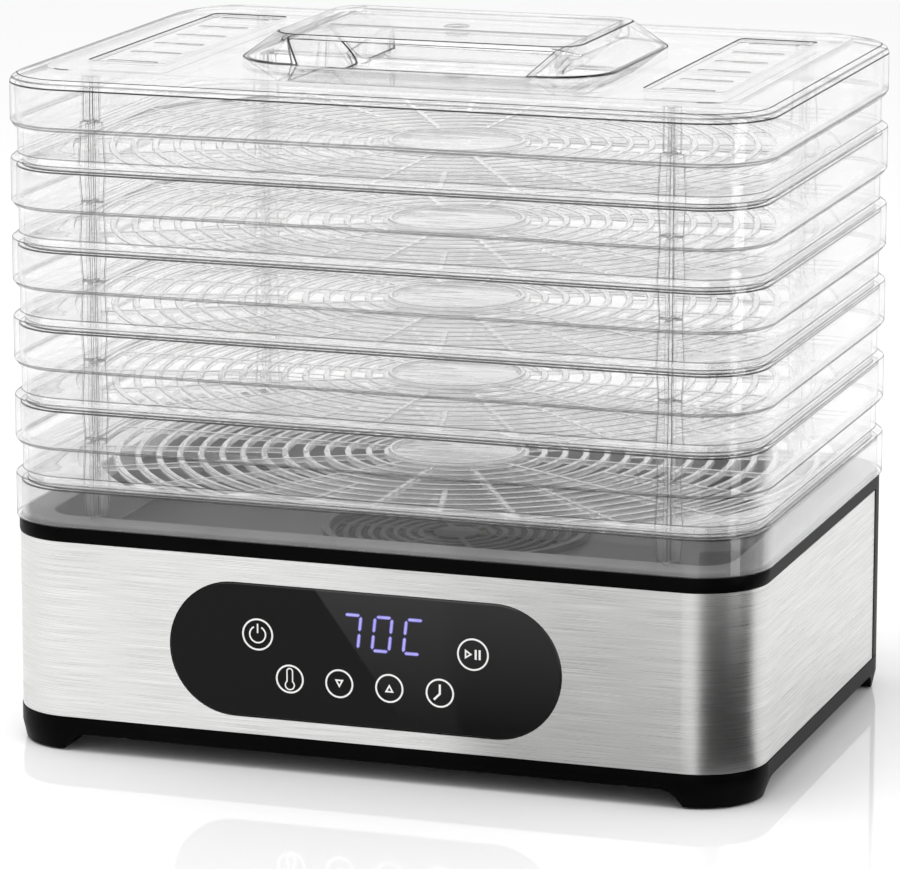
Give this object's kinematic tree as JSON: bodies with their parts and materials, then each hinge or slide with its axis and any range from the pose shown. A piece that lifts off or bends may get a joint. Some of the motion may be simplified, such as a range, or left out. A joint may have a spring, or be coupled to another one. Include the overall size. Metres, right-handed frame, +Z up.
{
  "type": "food dehydrator",
  "caption": "Countertop food dehydrator: clear stacking trays with ring-slotted floors and a vented clear lid on a steel-fronted powered base with a touch panel, heater and fan.",
  "frame": {"origin": "middle of the footprint, on the surface that the feet stand on", "axes": "+X along the width, to the right seen from the front; -Y towards the front; +Z up"},
  "size_m": [0.33, 0.236, 0.2991],
  "materials": {
    "clear_plastic": "clear moulded",
    "black_plastic": "fine moulded",
    "grey_plastic": "satin moulded",
    "brushed_steel": "brushed along the width",
    "panel_lens": "gloss",
    "pad_rubber": "matt",
    "screw_steel": "zinc plated",
    "circuit_board": "solder mask",
    "display_glass": "tinted",
    "conductive_foam": "foam",
    "component_plastic": "moulded",
    "core_steel": "stacked sheet",
    "copper_winding": "varnished wire",
    "zinc_steel": "zinc plated",
    "bronze_bush": "sintered",
    "shaft_steel": "ground",
    "rotor_aluminium": "cast",
    "fan_plastic": "moulded",
    "mica": "pressed sheet",
    "heating_wire": "oxidised",
    "bakelite": "moulded"
  },
  "bodies": {
    "base": {"top_deck": "grey_plastic", "deck_floor": "grey_plastic", "deck_columns": "grey_plastic", "outlet_grille": "grey_plastic", "base_frame": "black_plastic", "steel_wrap": "brushed_steel", "bottom_cover": "black_plastic", "foot_pads": "pad_rubber", "cover_screws": "screw_steel", "control_lens": "panel_lens", "lens_carrier": "black_plastic", "control_board": "circuit_board", "display_module": "display_glass", "touch_pads": "conductive_foam", "board_screws": "screw_steel", "power_board": "circuit_board", "board_parts": "component_plastic", "motor_stator": "core_steel", "motor_coil": "copper_winding", "motor_brackets": "zinc_steel", "motor_bushes": "bronze_bush", "motor_screws": "screw_steel", "heater_duct": "zinc_steel", "heater_frame": "mica", "heater_coil": "heating_wire", "thermal_fuse": "component_plastic", "thermostat": "bakelite", "temperature_sensor": "component_plastic", "cord_gland": "black_plastic"},
    "fan": {"motor_shaft": "shaft_steel", "motor_rotor": "rotor_aluminium", "fan_impeller": "fan_plastic"},
    "tray_5": {"tray_5_frame": "clear_plastic", "tray_5_grid": "clear_plastic", "tray_5_posts": "clear_plastic"},
    "tray_4": {"tray_4_frame": "clear_plastic", "tray_4_grid": "clear_plastic", "tray_4_posts": "clear_plastic"},
    "tray_3": {"tray_3_frame": "clear_plastic", "tray_3_grid": "clear_plastic", "tray_3_posts": "clear_plastic"},
    "tray_2": {"tray_2_frame": "clear_plastic", "tray_2_grid": "clear_plastic", "tray_2_posts": "clear_plastic"},
    "tray_1": {"tray_1_frame": "clear_plastic", "tray_1_grid": "clear_plastic", "tray_1_posts": "clear_plastic"},
    "lid": {"lid": "clear_plastic", "lid_handle": "clear_plastic", "lid_vents": "clear_plastic", "lid_posts": "clear_plastic"}
  },
  "joints": [
    {"name": "fan_spin", "type": "hinge", "parent": "base", "child": "fan", "pos_m": [0, 0, 0], "axis": [0, 0, 1], "continuous": true},
    {"name": "tray_5_lift", "type": "slide", "parent": "base", "child": "tray_5", "axis": [0, 0, 1], "range_m": [0, 0.06]},
    {"name": "tray_4_lift", "type": "slide", "parent": "tray_5", "child": "tray_4", "axis": [0, 0, 1], "range_m": [0, 0.06]},
    {"name": "tray_3_lift", "type": "slide", "parent": "tray_4", "child": "tray_3", "axis": [0, 0, 1], "range_m": [0, 0.06]},
    {"name": "tray_2_lift", "type": "slide", "parent": "tray_3", "child": "tray_2", "axis": [0, 0, 1], "range_m": [0, 0.06]},
    {"name": "tray_1_lift", "type": "slide", "parent": "tray_2", "child": "tray_1", "axis": [0, 0, 1], "range_m": [0, 0.06]},
    {"name": "lid_lift", "type": "slide", "parent": "tray_1", "child": "lid", "axis": [0, 0, 1], "range_m": [0, 0.06]}
  ]
}
